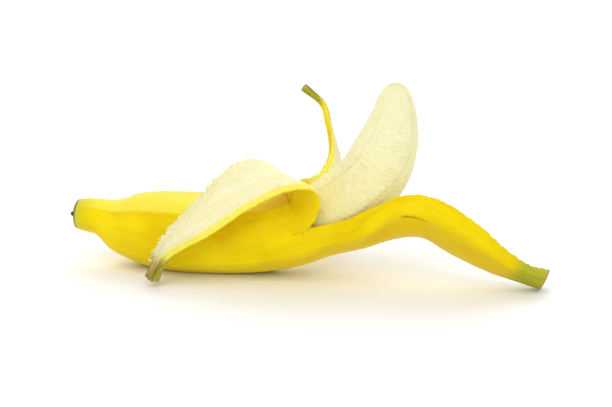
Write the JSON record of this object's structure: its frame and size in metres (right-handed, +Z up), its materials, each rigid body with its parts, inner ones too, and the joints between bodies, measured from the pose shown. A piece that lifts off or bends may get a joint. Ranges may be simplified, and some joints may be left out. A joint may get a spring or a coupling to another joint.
{
  "type": "peeled banana",
  "caption": "Ripe banana lying on its side, half peeled: the peel is split into strips that fold away and the pale flesh curls up out of it.",
  "frame": {"origin": "centre of the bounding box at the height of the surface it rests on", "axes": "+X from the blossom end towards the far tip of the right strip, +Y away from the side that shows the folded front strip, +Z up"},
  "size_m": [0.211, 0.1118, 0.089],
  "materials": {
    "peel": "waxy satin yellow skin, pale cream fibrous pith inside, green-brown stem ends",
    "pulp": "soft moist matt cream flesh",
    "blossom_nib": "dry dark brown"
  },
  "bodies": {
    "root": {"peel": "peel", "pulp": "pulp", "blossom_nib": "blossom_nib"}
  },
  "joints": []
}
